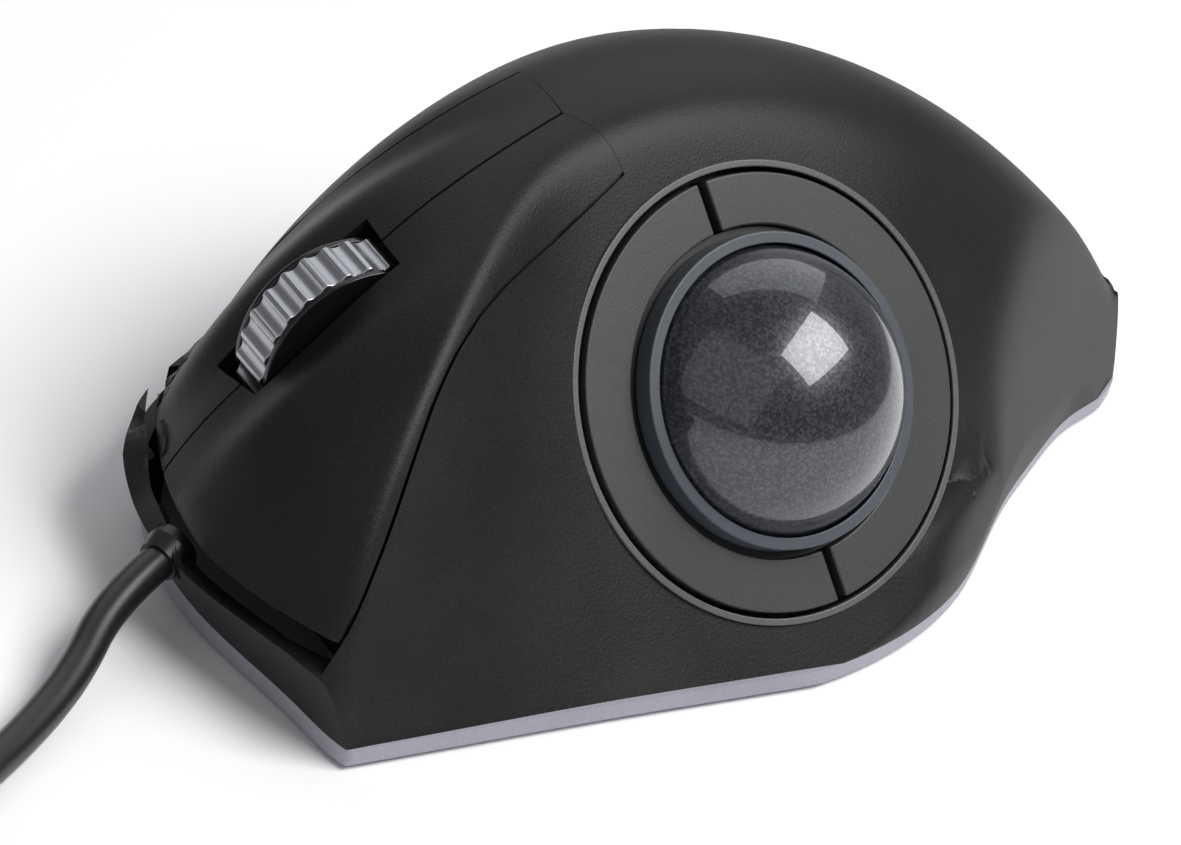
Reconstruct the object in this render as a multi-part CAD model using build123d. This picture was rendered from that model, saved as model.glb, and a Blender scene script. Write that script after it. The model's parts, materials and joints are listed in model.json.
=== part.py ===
from build123d import *
import math
import os

# Thumb-operated trackball mouse, wired.  Millimetres, +Z up, cable towards +Y, ball on the -X flank.
# Working frame: origin on the table below the front-left corner.  Every piece is moved at the end
# by FRAME_SHIFT, so that the origin is the middle of the footprint.

# ---------------------------------------------------------------- driving dimensions
FOOT_HEIGHT = 0.7            # glide feet lift the base off the table
BASE_THICKNESS = 1.9         # light base plate, seen as a thin trim all round
WALL = 2.2                   # thickness of the shell
SLIT = 0.35                  # slits beside the keys
KEY_FRONT_GAP = 1.3          # wide gap between the key fronts and the nose
HINGE_GAP = 0.06             # film gap at the root of each key
FIT = 0.15                   # side clearance of pieces that seat in each other
RUN_FIT = 0.05               # radial clearance of turning shafts

CROWN_HEIGHT = 53.0          # height of the top of the shell
CROWN_Y = -60.0              # where the top of the shell is
NOSE_REACH = 70.2            # from the crown to the nose of the top surface
NOSE_X = 24.0                # where the nose reaches furthest
RIGHT_SPAN = 37.0            # from the crown line to the right flank
NOSE_LIP_HEIGHT = 13.0       # shelf in front of the keys

BALL_RADIUS = 17.0
RING_CENTRE = (22.3, -59.3, 27.0)     # middle of the bezel, on the slanted left flank
RING_TILT = 37.8                      # elevation of the ring's axis above the horizontal
RING_LIP = 1.15                       # how far the opening is smaller than the ball
RING_OPENING = BALL_RADIUS - RING_LIP
RIM_HEIGHT = 3.1                      # retaining ring above the flank
RETAINER_RADIUS = BALL_RADIUS + 0.6
THUMB_KEY_INNER = RETAINER_RADIUS + 0.9
THUMB_KEY_WIDTH = 5.9
THUMB_KEY_OUTER = THUMB_KEY_INNER + THUMB_KEY_WIDTH
THUMB_KEY_HEIGHT = 0.9                # half-ring buttons above the flank
THUMB_KEY_THICKNESS = 3.6
THUMB_KEY_TRAVEL = 0.6                # room below the half-ring buttons' plungers
THUMB_PLUNGER_ROOT = 0.6              # length of a plunger inside its switch
BEZEL_INNER = THUMB_KEY_OUTER + 0.6
BEZEL_OUTER = BEZEL_INNER + 0.8
BEZEL_HEIGHT = 0.5
HOUSING_FLOOR = -4.2                  # top of the floor below the half-ring buttons
HOUSING_FLOOR_THICKNESS = 1.2
CUP_GAP = 0.5                         # between the ball and its cup
CUP_WALL = 0.9
BEARING_RADIUS = 1.25
BEARING_LATITUDE = 38.0               # bearing balls, below the ball's equator
BEARING_CLEAR = 0.02

WHEEL_CENTRE = (40.5, -15.3, 26.3)
WHEEL_RADIUS = 12.0
WHEEL_BAND_WIDTH = 5.6
WHEEL_FLANGE = 0.8
WHEEL_FLUTES = 28
FLUTE_DEPTH = 0.5
AXLE_RADIUS = 1.25
POCKET_SIDE = 0.9                     # clearance beside the wheel
POCKET_REACH = WHEEL_RADIUS + 1.4     # radius of the opening around the wheel

BOARD_BOTTOM = 5.4
BOARD_THICKNESS = 1.6
SWITCH_SIZE = (5.8, 12.8, 6.5)
PLUNGER_SIZE = (1.2, 2.9, 0.9)

CABLE_RADIUS = 2.0
CABLE_ROUTE = [(30.0, 9.4, 8.6), (26.6, 16.5, 6.6), (19.6, 23.2, 3.6), (12.6, 32.4, 2.1),
               (4.5, 44.5, 2.0), (-0.5, 53.5, 2.0)]
COIL_RADIUS = 22.0                    # middle of the turns
COIL_BAND = 4.2                       # half width of the coiled bundle
COIL_HEIGHT = 20.0
COIL_LEAD = 20.0                      # straight cable before it joins the turns
COIL_LEAVE_ANGLE = 45.0               # where the end of the cable leaves the turns
TAIL_STEP = 8.0
PLUG_HEIGHT = 4.0                     # axis of the plug above the table

# ---------------------------------------------------------------- outline of the base, seen from above
OUTLINE = [
    (0.6, -5.0), (0.9, -1.2), (4.2, 0.4), (10.0, 1.3), (17.0, 2.5), (26.6, 4.1), (35.8, 4.1),
    (45.0, 2.0), (54.0, -3.0), (62.0, -11.5), (69.5, -25.0), (75.5, -42.0), (79.5, -62.0),
    (80.0, -82.0), (76.5, -101.0), (70.0, -117.0), (61.0, -131.0), (54.5, -137.0), (48.5, -136.0),
    (42.5, -126.0), (35.5, -115.0), (28.5, -105.5), (21.0, -97.0), (13.4, -88.0), (7.3, -77.0),
    (3.4, -65.0), (1.5, -50.0), (1.4, -37.0), (1.4, -20.0),
]
NOSE_SWELL = 5.8             # how far the nose overhangs the front of the base


def blend_min(a, b, blend):
    """Smaller of two heights, with the corner between them rounded."""
    h = max(blend - abs(a - b), 0) / blend
    return min(a, b) - h ** 3 * blend / 6


def blend_max(a, b, blend):
    """Larger of two heights, with the corner between them rounded."""
    return -blend_min(-a, -b, blend)


def soft_positive(t, blend):
    """t where it is positive and 0 where it is negative, with a smooth change."""
    return (t + math.hypot(t, blend)) / 2


def crown(x, y):
    """Height of the domed top."""
    forward = soft_positive(y - CROWN_Y, 8) / abs(CROWN_Y)
    ridge = 50 - 6 * forward
    half = RIGHT_SPAN if x > ridge else 30 + 70 * forward
    across = (x - ridge) / half
    reach = NOSE_REACH - 0.0102 * (x - NOSE_X) ** 2
    along = soft_positive(y - CROWN_Y, 3) / reach
    fall = 0.0071 * soft_positive(CROWN_Y - y, 3) ** 2
    t = 1 - across ** 2 - along ** 2
    return CROWN_HEIGHT * math.sqrt(soft_positive(t, 0.05)) - fall


def nose_line(x):
    """Front lip of the nose, seen from above."""
    return 10.0 - 0.0095 * (x - 33) ** 2


def key_line(x):
    """Front edge of the keys, seen from above."""
    return 7.4 - 0.0102 * (x - NOSE_X) ** 2


def nose(x, y):
    """Shelf in front of the keys, rolling over at its lip."""
    return NOSE_LIP_HEIGHT - 0.21 * soft_positive(y - nose_line(x) + 4.5, 1.0) ** 2


def flank(x, y):
    """Slanted thumb side, flat around the ring and steeper towards the front and the rear."""
    rise = 1 / math.tan(math.radians(RING_TILT))
    steeper = rise + 0.68 * (soft_positive(y + 40, 4) / 28) ** 2
    thumb = steeper * (x - (RING_CENTRE[0] - RING_CENTRE[2] / rise))
    rear = RING_CENTRE[2] + rise * (x - RING_CENTRE[0]) + 0.5 * (y + 80)
    corner = 2 + 3 * (0.79 * (x - 12) + 0.61 * (y + 89))
    return blend_min(blend_min(thumb, rear, 6), corner, 8)


def dish(x, y):
    """Hollow around the wheel and finger groove of the right key."""
    hollow = 4.0 * math.exp(-((x - 40) / 8) ** 4 - ((y + 4) / 10) ** 2)
    groove_x = 55 + 0.12 * (y + 20)
    groove = 1.6 * math.exp(-((x - groove_x) / 4.5) ** 2 - ((y + 18) / 20) ** 4)
    return hollow + groove


def skin_height(x, y):
    """Outer surface of the shell as a height above the table."""
    top = blend_max(crown(x, y) - dish(x, y), nose(x, y), 2)
    return blend_min(top, flank(x, y), 5)


def inner_height(x, y, depth):
    """The same surface set in by a depth measured square to it."""
    step = 0.5
    slope_x = (skin_height(x + step, y) - skin_height(x - step, y)) / (2 * step)
    slope_y = (skin_height(x, y + step) - skin_height(x, y - step)) / (2 * step)
    return skin_height(x, y) - depth * min(math.hypot(1, slope_x, slope_y), 2.6)


def below_surface(depth):
    """Solid block below the skin, or below the skin set in by a depth."""
    columns = 26
    rows = 38
    evenly = [i / (columns - 1) for i in range(columns)]
    sections = []
    for j in range(rows):
        y = -143 + 157 * j / (rows - 1)
        row = []
        for i in range(columns):
            x = -1.5 + 86 * i / (columns - 1)
            z = skin_height(x, y) if depth == 0 else inner_height(x, y, depth)
            row.append((x, y, max(z, -30)))
        first = row[0]
        last = row[-1]
        low_first = (first[0], y, -60)
        low_last = (last[0], y, -60)
        top_edge = Edge.make_spline([Vector(*point) for point in row], parameters=evenly)
        sections.append(Wire([top_edge, Line(last, low_last), Line(low_last, low_first),
                              Line(low_first, first)]))
    return Solid.make_loft(sections, ruled=False)


def set_in(points, distance):
    """Outline points moved inwards, square to the line through their neighbours."""
    moved = []
    count = len(points)
    for i in range(count):
        before = points[i - 1]
        after = points[(i + 1) % count]
        dx = after[0] - before[0]
        dy = after[1] - before[1]
        size = math.hypot(dx, dy)
        moved.append((points[i][0] + distance * dy / size, points[i][1] - distance * dx / size))
    return moved


def swell(points):
    """Outline at the height of the nose lip."""
    moved = []
    for x, y in points:
        share = max(0.0, 1 - ((x - 31) / 33) ** 2) if y > -12 else 0.0
        moved.append((x, y + NOSE_SWELL * share))
    return moved


def outline_face(points, z):
    edge = Spline(*[(x, y, z) for x, y in points], periodic=True)
    return Face(Wire([edge]))


def prism(points, low, high):
    return Solid.extrude(outline_face(points, low), Vector(0, 0, high - low))


def nose_prism(points, low, high):
    """Prism whose front leans out up to the lip."""
    lower = outline_face(points, low).outer_wire()
    upper = outline_face(swell(points), NOSE_LIP_HEIGHT - 1.5).outer_wire()
    leaning = Solid.make_loft([lower, upper], ruled=True)
    return leaning + prism(swell(points), NOSE_LIP_HEIGHT - 1.5, high)


# ---------------------------------------------------------------- ring frame
TILT = math.radians(RING_TILT)
RING_NORMAL = Vector(-math.cos(TILT), 0, math.sin(TILT))
RING_PLANE = Plane(origin=RING_CENTRE, x_dir=(0, 1, 0), z_dir=RING_NORMAL)
BALL_DROP = RIM_HEIGHT - math.sqrt(BALL_RADIUS ** 2 - RING_OPENING ** 2)   # height of its centre
SLOT_ANGLES = (104.0, 284.0)           # slots between the half-ring buttons, from +Y


def on_ring(shape):
    """A shape drawn around the ring's axis, put in its place."""
    return RING_PLANE * shape


def tube(outer, inner, low, high):
    body = Pos(0, 0, (low + high) / 2) * Cylinder(outer, high - low)
    return body - Pos(0, 0, (low + high) / 2) * Cylinder(inner, high - low + 1)


def rod(radius, low, high):
    return Pos(0, 0, (low + high) / 2) * Cylinder(radius, high - low)


def post(x, y, radius, low, high):
    return Pos(x, y, (low + high) / 2) * Cylinder(radius, high - low)


def block(x0, x1, y0, y1, z0, z1):
    return Pos((x0 + x1) / 2, (y0 + y1) / 2, (z0 + z1) / 2) * Box(x1 - x0, y1 - y0, z1 - z0)


pieces = {}

# ---------------------------------------------------------------- base plate, feet and screws
BASE_LOW = FOOT_HEIGHT
BASE_TOP = FOOT_HEIGHT + BASE_THICKNESS
SCREWS = [(9.5, -14.0), (66.0, -32.0), (43.0, -112.0), (66.0, -104.0)]
SCREW_RADIUS = 1.3
SCREW_HEAD = 2.4
SCREW_HEAD_HEIGHT = 1.0
SCREW_LENGTH = 9.0
BOSS_RADIUS = 3.2
BOARD_POSTS = [(16.0, -29.0), (55.5, -30.0), (14.6, -7.0), (46.0, -7.0)]
BOARD_SCREW_RADIUS = 1.0

base = prism(OUTLINE, BASE_LOW, BASE_TOP)
for x, y in BOARD_POSTS:
    base = base + post(x, y, 2.4, BASE_TOP, BOARD_BOTTOM)
for x, y in BOARD_POSTS:
    base = base - post(x, y, BOARD_SCREW_RADIUS + FIT, BASE_LOW + 0.8, BOARD_BOTTOM + 1)
for x, y in SCREWS:
    base = base - post(x, y, SCREW_RADIUS + FIT, 0, BASE_TOP + 1)
    base = base - post(x, y, SCREW_HEAD + FIT, 0, BASE_LOW + SCREW_HEAD_HEIGHT)
pieces["base_plate"] = base

FEET = [(12.0, -22.0, 3.0, 10.0), (30.0, -2.0, 9.0, 2.4), (63.0, -20.5, 3.0, 3.0), (70.0, -70.0, 3.0, 12.0),
        (52.0, -127.0, 6.0, 3.0), (9.0, -66.0, 2.4, 8.0)]
for number, (x, y, half_x, half_y) in enumerate(FEET, 1):
    corner = min(half_x, half_y) - 0.1
    foot = extrude(Pos(x, y, 0) * RectangleRounded(2 * half_x, 2 * half_y, corner), FOOT_HEIGHT)
    pieces[f"glide_foot_{number}"] = foot

# ---------------------------------------------------------------- shell and keys
SHELL_LOW = BASE_TOP
outer_block = below_surface(0)
inner_block = below_surface(WALL)
shell_outer = outer_block & nose_prism(OUTLINE, SHELL_LOW, 70)
shell_inner = inner_block & nose_prism(set_in(OUTLINE, WALL), SHELL_LOW - 1, 69)
skin = shell_outer - shell_inner

# slits, seen from above, each from its front end to its rear end
LEFT_SLIT = [(6.2, 3.4), (6.9, 0.6), (9.4, -3.2), (14.6, -8.4), (20.0, -13.6), (28.0, -24.0),
             (33.4, -33.6), (38.0, -44.0)]
MIDDLE_SLIT = [(39.0, 6.0), (39.3, -4.0), (40.2, -14.0), (42.6, -27.0), (46.0, -40.0)]
RIGHT_SLIT = [(58.2, -4.6), (58.4, -12.0), (57.8, -22.0), (57.4, -32.0), (58.0, -42.0)]
KEY_LOW = 13.2               # underside of the keys at their front
GAP_LOW = 10.0               # bottom of the gap in front of the keys
HALF_SLIT = SLIT / 2


def shifted(points, distance):
    """A line seen from above, moved to its left by a distance."""
    moved = []
    for i, (x, y) in enumerate(points):
        before = points[max(i - 1, 0)]
        after = points[min(i + 1, len(points) - 1)]
        dx = after[0] - before[0]
        dy = after[1] - before[1]
        size = math.hypot(dx, dy)
        moved.append((x - distance * dy / size, y + distance * dx / size))
    return moved


def zone(low, *lines):
    """Upright block over a closed outline of lines, each joined to the next by a straight edge."""
    edges = []
    for i, points in enumerate(lines):
        edges.append(Spline(*points) if len(points) > 2 else Line(*points))
        following = lines[(i + 1) % len(lines)][0]
        if math.dist(points[-1], following) > 0.001:
            edges.append(Line(points[-1], following))
    return Solid.extrude(Pos(0, 0, low) * Face(Wire(edges)), Vector(0, 0, 60))


def front_edge(places, ahead):
    return [(x, key_line(x) + ahead) for x in places]


def key_side(points, distance):
    """Side of a key: a slit's line moved aside, stopping a film gap before the hinge line."""
    side = shifted(points, distance)
    x, y = side[-1]
    return side[:-1] + [(x, y + HINGE_GAP)]


middle_front_x = MIDDLE_SLIT[0][0]
left_zone = zone(
    KEY_LOW,
    key_side(LEFT_SLIT, HALF_SLIT),
    key_side(MIDDLE_SLIT[1:], -HALF_SLIT)[::-1],
    front_edge([middle_front_x - HALF_SLIT, 32, 24, 16, 9.5], 0))
right_zone = zone(
    KEY_LOW,
    key_side(MIDDLE_SLIT[1:], HALF_SLIT),
    key_side(RIGHT_SLIT, -HALF_SLIT)[::-1],
    front_edge([56.4, 52, 46, middle_front_x + HALF_SLIT], 0))
both_zone = zone(
    GAP_LOW,
    shifted(LEFT_SLIT, -HALF_SLIT),
    [LEFT_SLIT[-1], MIDDLE_SLIT[-1]],
    [MIDDLE_SLIT[-1], RIGHT_SLIT[-1]],
    shifted(RIGHT_SLIT[::-1], -HALF_SLIT),
    front_edge([57.2, 52, 46, 38, 32, 24, 16, 8.6], KEY_FRONT_GAP))

# opening around the wheel, about its own axis, and the opening for the ball's housing
wheel_x, wheel_y, wheel_z = WHEEL_CENTRE
pocket_width = WHEEL_BAND_WIDTH + 2 * WHEEL_FLANGE + 2 * POCKET_SIDE
pocket = Pos(wheel_x, wheel_y, wheel_z) * Rot(0, 90, 0) * Cylinder(POCKET_REACH, pocket_width)
ring_hole = on_ring(rod(BEZEL_OUTER + 0.02, -9, 20))

# opening for the cable
exit_point = Vector(*CABLE_ROUTE[0])
exit_way = (Vector(*CABLE_ROUTE[1]) - exit_point).normalized()
exit_plane = Plane(origin=exit_point, z_dir=exit_way)
GLAND_RADIUS = 2.9
GLAND_FIT = 0.05
gland_hole = exit_plane * rod(GLAND_RADIUS + GLAND_FIT, -9, 4)

left_key = (skin & left_zone) - pocket
right_key = (skin & right_zone) - pocket
top_shell = skin - both_zone - pocket - ring_hole - gland_hole


def biggest(shape):
    """The main solid of a cut shape, without slivers."""
    return sorted(shape.solids(), key=lambda solid: solid.volume)[-1]


top_shell = biggest(top_shell)
left_key = biggest(left_key)
right_key = biggest(right_key)

# posts inside the shell: screw bosses and key posts
filling = below_surface(WALL / 2)
board_top = BOARD_BOTTOM + BOARD_THICKNESS
LEFT_SWITCH = (20.0, -12.0)
RIGHT_SWITCH = (54.0, -19.5)
PLUNGER_AHEAD = 3.0
POST_RADIUS = 1.6
POST_GAP = 0.05
plunger_top = board_top + SWITCH_SIZE[2] + PLUNGER_SIZE[2]

for x, y in SCREWS:
    top_shell = top_shell + (post(x, y, BOSS_RADIUS, BASE_TOP, 70) & filling)
for x, y in SCREWS:
    top_shell = top_shell - post(x, y, SCREW_RADIUS + RUN_FIT, BASE_TOP - 1, BASE_LOW + SCREW_LENGTH + 1)
for (x, y), side in ((LEFT_SWITCH, "left"), (RIGHT_SWITCH, "right")):
    stem = post(x, y + PLUNGER_AHEAD, POST_RADIUS, plunger_top + POST_GAP, 70) & filling
    if side == "left":
        left_key = left_key + stem
    else:
        right_key = right_key + stem

pieces["top_shell"] = top_shell
pieces["left_key"] = left_key
pieces["right_key"] = right_key

for number, (x, y) in enumerate(SCREWS, 1):
    head = post(x, y, SCREW_HEAD, BASE_LOW + 0.1, BASE_LOW + SCREW_HEAD_HEIGHT)
    shank = post(x, y, SCREW_RADIUS, BASE_LOW + 0.1, BASE_LOW + SCREW_LENGTH)
    pieces[f"case_screw_{number}"] = head + shank - post(x, y, 0.9, BASE_LOW, BASE_LOW + 0.7)

# ---------------------------------------------------------------- main board and what is on it
board = block(13.2, 48, -33.4, -4.5, BOARD_BOTTOM, board_top)
board = board + block(48, 58.6, -33.4, -12.5, BOARD_BOTTOM, board_top)
for x, y in BOARD_POSTS:
    board = board - post(x, y, BOARD_SCREW_RADIUS + FIT, 0, 20)
pieces["main_board"] = board
for number, (x, y) in enumerate(BOARD_POSTS, 1):
    pieces[f"board_screw_{number}"] = (post(x, y, 1.8, board_top, board_top + 1.2)
                                       + post(x, y, BOARD_SCREW_RADIUS, BASE_LOW + 1.2, board_top))


def switch(x, y, turn):
    """Body of a micro switch standing on the main board, and its plunger."""
    wide, long, tall = SWITCH_SIZE
    place = Pos(x, y, board_top) * Rot(0, 0, turn)
    body = place * (Pos(0, 0, tall / 2) * Box(wide, long, tall))
    body = body - place * (Pos(0, PLUNGER_AHEAD, tall) * Box(PLUNGER_SIZE[0] + 0.1, PLUNGER_SIZE[1] + 0.1, 4))
    button = place * (Pos(0, PLUNGER_AHEAD, tall + (PLUNGER_SIZE[2] - 1) / 2)
                      * Box(PLUNGER_SIZE[0], PLUNGER_SIZE[1], PLUNGER_SIZE[2] + 1))
    return body, button


MIDDLE_SWITCH = (37.5, -30.0)
for name, (x, y), turn in (("left", LEFT_SWITCH, 0), ("right", RIGHT_SWITCH, 0), ("middle", MIDDLE_SWITCH, -90)):
    pieces[f"{name}_switch"], pieces[f"{name}_plunger"] = switch(x, y, turn)

pieces["controller_chip"] = block(24, 31, -30.5, -23.5, board_top, board_top + 1.0)
CONNECTOR = (26.0, 34.0, -9.6, -5.6)
pieces["cable_connector"] = block(*CONNECTOR, board_top, board_top + 4.6)

# ---------------------------------------------------------------- scroll wheel


def along_x(x, shape):
    """A shape drawn about the Z axis, laid along X through the wheel's centre."""
    return Pos(x, wheel_y, wheel_z) * Rot(0, 90, 0) * shape


band_half = WHEEL_BAND_WIDTH / 2
band = Cylinder(WHEEL_RADIUS, WHEEL_BAND_WIDTH) - Cylinder(WHEEL_RADIUS - 2.6, WHEEL_BAND_WIDTH + 1)
flute_pitch = 2 * math.pi * WHEEL_RADIUS / WHEEL_FLUTES
flute_radius = (flute_pitch / 2 * 0.8) ** 2 / (2 * FLUTE_DEPTH) + FLUTE_DEPTH / 2
flute_centre = WHEEL_RADIUS + flute_radius - FLUTE_DEPTH
for step in range(WHEEL_FLUTES):
    turn = Rot(0, 0, 360 * step / WHEEL_FLUTES)
    band = band - turn * (Pos(flute_centre, 0, 0) * Cylinder(flute_radius, WHEEL_BAND_WIDTH + 1))
pieces["wheel_band"] = along_x(wheel_x, band)

hub = Cylinder(WHEEL_RADIUS - 2.6, WHEEL_BAND_WIDTH)
for side in (-1, 1):
    flange = Pos(0, 0, side * (band_half + WHEEL_FLANGE / 2)) * Cylinder(WHEEL_RADIUS - 0.3, WHEEL_FLANGE)
    hub = hub + flange
hub = hub - Cylinder(AXLE_RADIUS, 20)
pieces["wheel_hub"] = along_x(wheel_x, hub)

ARM_GAP = 0.7
ARM_THICKNESS = 1.6
arm_inner = band_half + WHEEL_FLANGE + ARM_GAP
arm_outer = arm_inner + ARM_THICKNESS
axle = Pos(0, 0, 0.7) * Cylinder(AXLE_RADIUS, 2 * arm_outer + 2.2)
pieces["wheel_axle"] = along_x(wheel_x, axle)

BRIDGE = (-31.6, -26.6)
bridge_low = plunger_top + POST_GAP
carrier = block(wheel_x - arm_outer, wheel_x + arm_outer, *BRIDGE, bridge_low, bridge_low + 2.4)
for side in (-1, 1):
    near = wheel_x + side * arm_inner
    far = wheel_x + side * arm_outer
    middle = (near + far) / 2
    outline = Polyline((BRIDGE[0], bridge_low), (BRIDGE[1], bridge_low), (wheel_y + 2.6, wheel_z - 2),
                       (wheel_y + 2.6, wheel_z + 2.6), (wheel_y - 2.6, wheel_z + 2.6),
                       (BRIDGE[0], bridge_low + 4.6), close=True)
    arm_face = Plane(origin=(middle, 0, 0), x_dir=(0, 1, 0), z_dir=(1, 0, 0)) * make_face(outline)
    carrier = carrier + extrude(arm_face, ARM_THICKNESS / 2, both=True)
carrier = carrier - along_x(wheel_x, Cylinder(AXLE_RADIUS + RUN_FIT, 40))
pieces["wheel_carrier"] = carrier

encoder_low = wheel_x + arm_outer
encoder = block(encoder_low, encoder_low + 4.0, wheel_y - 6.4, wheel_y + 2.4, wheel_z - 5.0, wheel_z + 1.6)
encoder = encoder - along_x(wheel_x, Cylinder(AXLE_RADIUS + RUN_FIT, 40))
pieces["wheel_encoder"] = encoder

# ---------------------------------------------------------------- thumb ball, its housing and half-ring buttons
cup_inner = BALL_RADIUS + CUP_GAP
cup_outer = cup_inner + CUP_WALL
floor_low = HOUSING_FLOOR - HOUSING_FLOOR_THICKNESS
bowl = Pos(0, 0, BALL_DROP) * Sphere(cup_outer)
bowl = bowl & Pos(0, 0, BALL_DROP - 30) * Box(80, 80, 60)
cup = bowl + rod(cup_outer, BALL_DROP, 0)
cup = cup + tube(BEZEL_OUTER, cup_outer - 0.4, floor_low, HOUSING_FLOOR)
cup = cup + tube(BEZEL_OUTER, BEZEL_INNER, floor_low, 0)

SENSOR_RADIUS = 3.0
SENSOR_POSTS = 7.5
board_face = BALL_DROP - cup_outer - 4.4
for side in (-1, 1):
    cup = cup + Pos(side * SENSOR_POSTS, 0, 0) * rod(1.3, board_face, BALL_DROP - 10)
bearing_reach = BALL_RADIUS + BEARING_CLEAR + BEARING_RADIUS
bearing_places = []
for turn in (30.0, 150.0, 270.0):
    flat = math.cos(math.radians(BEARING_LATITUDE))
    drop = -math.sin(math.radians(BEARING_LATITUDE))
    way = Vector(flat * math.cos(math.radians(turn)), flat * math.sin(math.radians(turn)), drop)
    seat = Plane(origin=(0, 0, BALL_DROP), z_dir=way)
    bearing_places.append(seat)
    cup = cup + seat * rod(BEARING_RADIUS + 0.9, BALL_RADIUS + 0.6, bearing_reach + BEARING_RADIUS + 0.5)
cup = cup - (Pos(0, 0, BALL_DROP) * Sphere(cup_inner)) - rod(cup_inner, BALL_DROP, 10)
for seat in bearing_places:
    cup = cup - seat * rod(BEARING_RADIUS + RUN_FIT, BALL_RADIUS - 2, bearing_reach)
    cup = cup - seat * (Pos(0, 0, bearing_reach) * Sphere(BEARING_RADIUS + RUN_FIT))
cup = cup - rod(SENSOR_RADIUS + RUN_FIT, -40, BALL_DROP - 5)

# floor openings for the stems of the half-ring buttons, and posts for their boards
THUMB_STEM = THUMB_KEY_INNER + 3.1
THUMB_SWITCH = (6.0, 6.0, 4.3)
STEM_RADIUS = 1.5
thumb_switch_top = floor_low - 1.6
thumb_board_top = thumb_switch_top - THUMB_SWITCH[2]
THUMB_BOARD_HALF = 7.0
THUMB_BOARD_THICKNESS = 1.2
for side in (-1, 1):
    cup = cup - Pos(side * THUMB_STEM, 0, 0) * rod(STEM_RADIUS + 0.3, floor_low - 1, HOUSING_FLOOR + 1)
    for end in (-1, 1):
        cup = cup + Pos(side * THUMB_STEM, end * 5.2, 0) * rod(1.1, thumb_board_top, floor_low)
pieces["ball_housing"] = on_ring(cup)
pieces["bezel"] = on_ring(tube(BEZEL_OUTER, BEZEL_INNER, 0, BEZEL_HEIGHT))

button_low = THUMB_KEY_HEIGHT - THUMB_KEY_THICKNESS
SLOT_WIDTH = 1.1
ring = tube(THUMB_KEY_OUTER, THUMB_KEY_INNER, button_low, THUMB_KEY_HEIGHT)
for name, side in (("front", 1), ("rear", -1)):
    keep = Rot(0, 0, SLOT_ANGLES[0]) * (Pos(0, -side * 50, 0) * Box(100, 100 - SLOT_WIDTH, 20))
    half_ring = ring & keep
    stem_low = thumb_switch_top + PLUNGER_SIZE[2] + POST_GAP
    half_ring = half_ring + Pos(side * THUMB_STEM, 0, 0) * rod(STEM_RADIUS, stem_low, button_low + 0.5)
    pieces[f"thumb_button_{name}"] = on_ring(half_ring)
    wide, long, tall = THUMB_SWITCH
    body = Pos(side * THUMB_STEM, 0, thumb_board_top + tall / 2) * Box(wide, long, tall)
    root_low = thumb_switch_top - THUMB_PLUNGER_ROOT
    well = Pos(side * THUMB_STEM, 0, 0) * rod(1.3, root_low - THUMB_KEY_TRAVEL, thumb_switch_top + 1)
    pieces[f"thumb_switch_{name}"] = on_ring(body - well)
    button = Pos(side * THUMB_STEM, 0, 0) * rod(1.2, root_low, thumb_switch_top + PLUNGER_SIZE[2])
    pieces[f"thumb_plunger_{name}"] = on_ring(button)
    sheet = Pos(side * THUMB_STEM, 0, thumb_board_top - THUMB_BOARD_THICKNESS / 2) * Box(
        2 * 4.2, 2 * THUMB_BOARD_HALF, THUMB_BOARD_THICKNESS)
    pieces[f"thumb_board_{name}"] = on_ring(sheet)

# retaining ring, opened out to clear the ball
retainer = rod(RETAINER_RADIUS, 0.1, RIM_HEIGHT)
retainer = retainer - Pos(0, 0, BALL_DROP) * Sphere(BALL_RADIUS + 0.3)
retainer = biggest(retainer - rod(RING_OPENING + 0.1, -1, RIM_HEIGHT + 1))
pieces["retaining_ring"] = on_ring(retainer)
pieces["ball"] = on_ring(Pos(0, 0, BALL_DROP) * Sphere(BALL_RADIUS))
for number, seat in enumerate(bearing_places, 1):
    pieces[f"bearing_ball_{number}"] = on_ring(seat * (Pos(0, 0, bearing_reach) * Sphere(BEARING_RADIUS)))
lens_top = BALL_DROP - cup_inner - 0.1
pieces["sensor_lens"] = on_ring(rod(SENSOR_RADIUS, lens_top - 2.2, lens_top))
pieces["sensor_chip"] = on_ring(Pos(0, 0, board_face + 0.8) * Box(7, 9, 1.6))
pieces["sensor_board"] = on_ring(Pos(0, 0, board_face - 0.6) * Box(20, 14, 1.2))

# ---------------------------------------------------------------- cable, gland, coil and plug
GLAND_LENGTH = 3.0
GLAND_TAPER = 1.8
taper = Cone(GLAND_RADIUS, CABLE_RADIUS + 0.35, GLAND_TAPER, align=(Align.CENTER, Align.CENTER, Align.MAX))
pieces["cable_gland"] = exit_plane * (taper + rod(GLAND_RADIUS, -GLAND_LENGTH, -GLAND_TAPER))
print("gland end", exit_point, "way", exit_way)


def corner_radii(points):
    """Largest arc that each corner's two runs allow."""
    radii = []
    for before, corner, after in zip(points, points[1:], points[2:]):
        first = Vector(*corner) - Vector(*before)
        second = Vector(*after) - Vector(*corner)
        half_turn = math.radians(first.get_angle(second)) / 2
        radii.append(0.45 * min(first.length, second.length) / math.tan(half_turn))
    return radii


def cable(points, name):
    radii = corner_radii(points)
    path = FilletPolyline(*points, radius=radii)
    start = Plane(origin=points[0], z_dir=path % 0)
    solid = sweep(start * Circle(CABLE_RADIUS), path=path)
    length = solid.volume / (math.pi * CABLE_RADIUS ** 2)
    print(name, "radii", [round(radius, 1) for radius in radii], "length", round(path.length, 2),
          "from volume", round(length, 2))
    return solid


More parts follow.
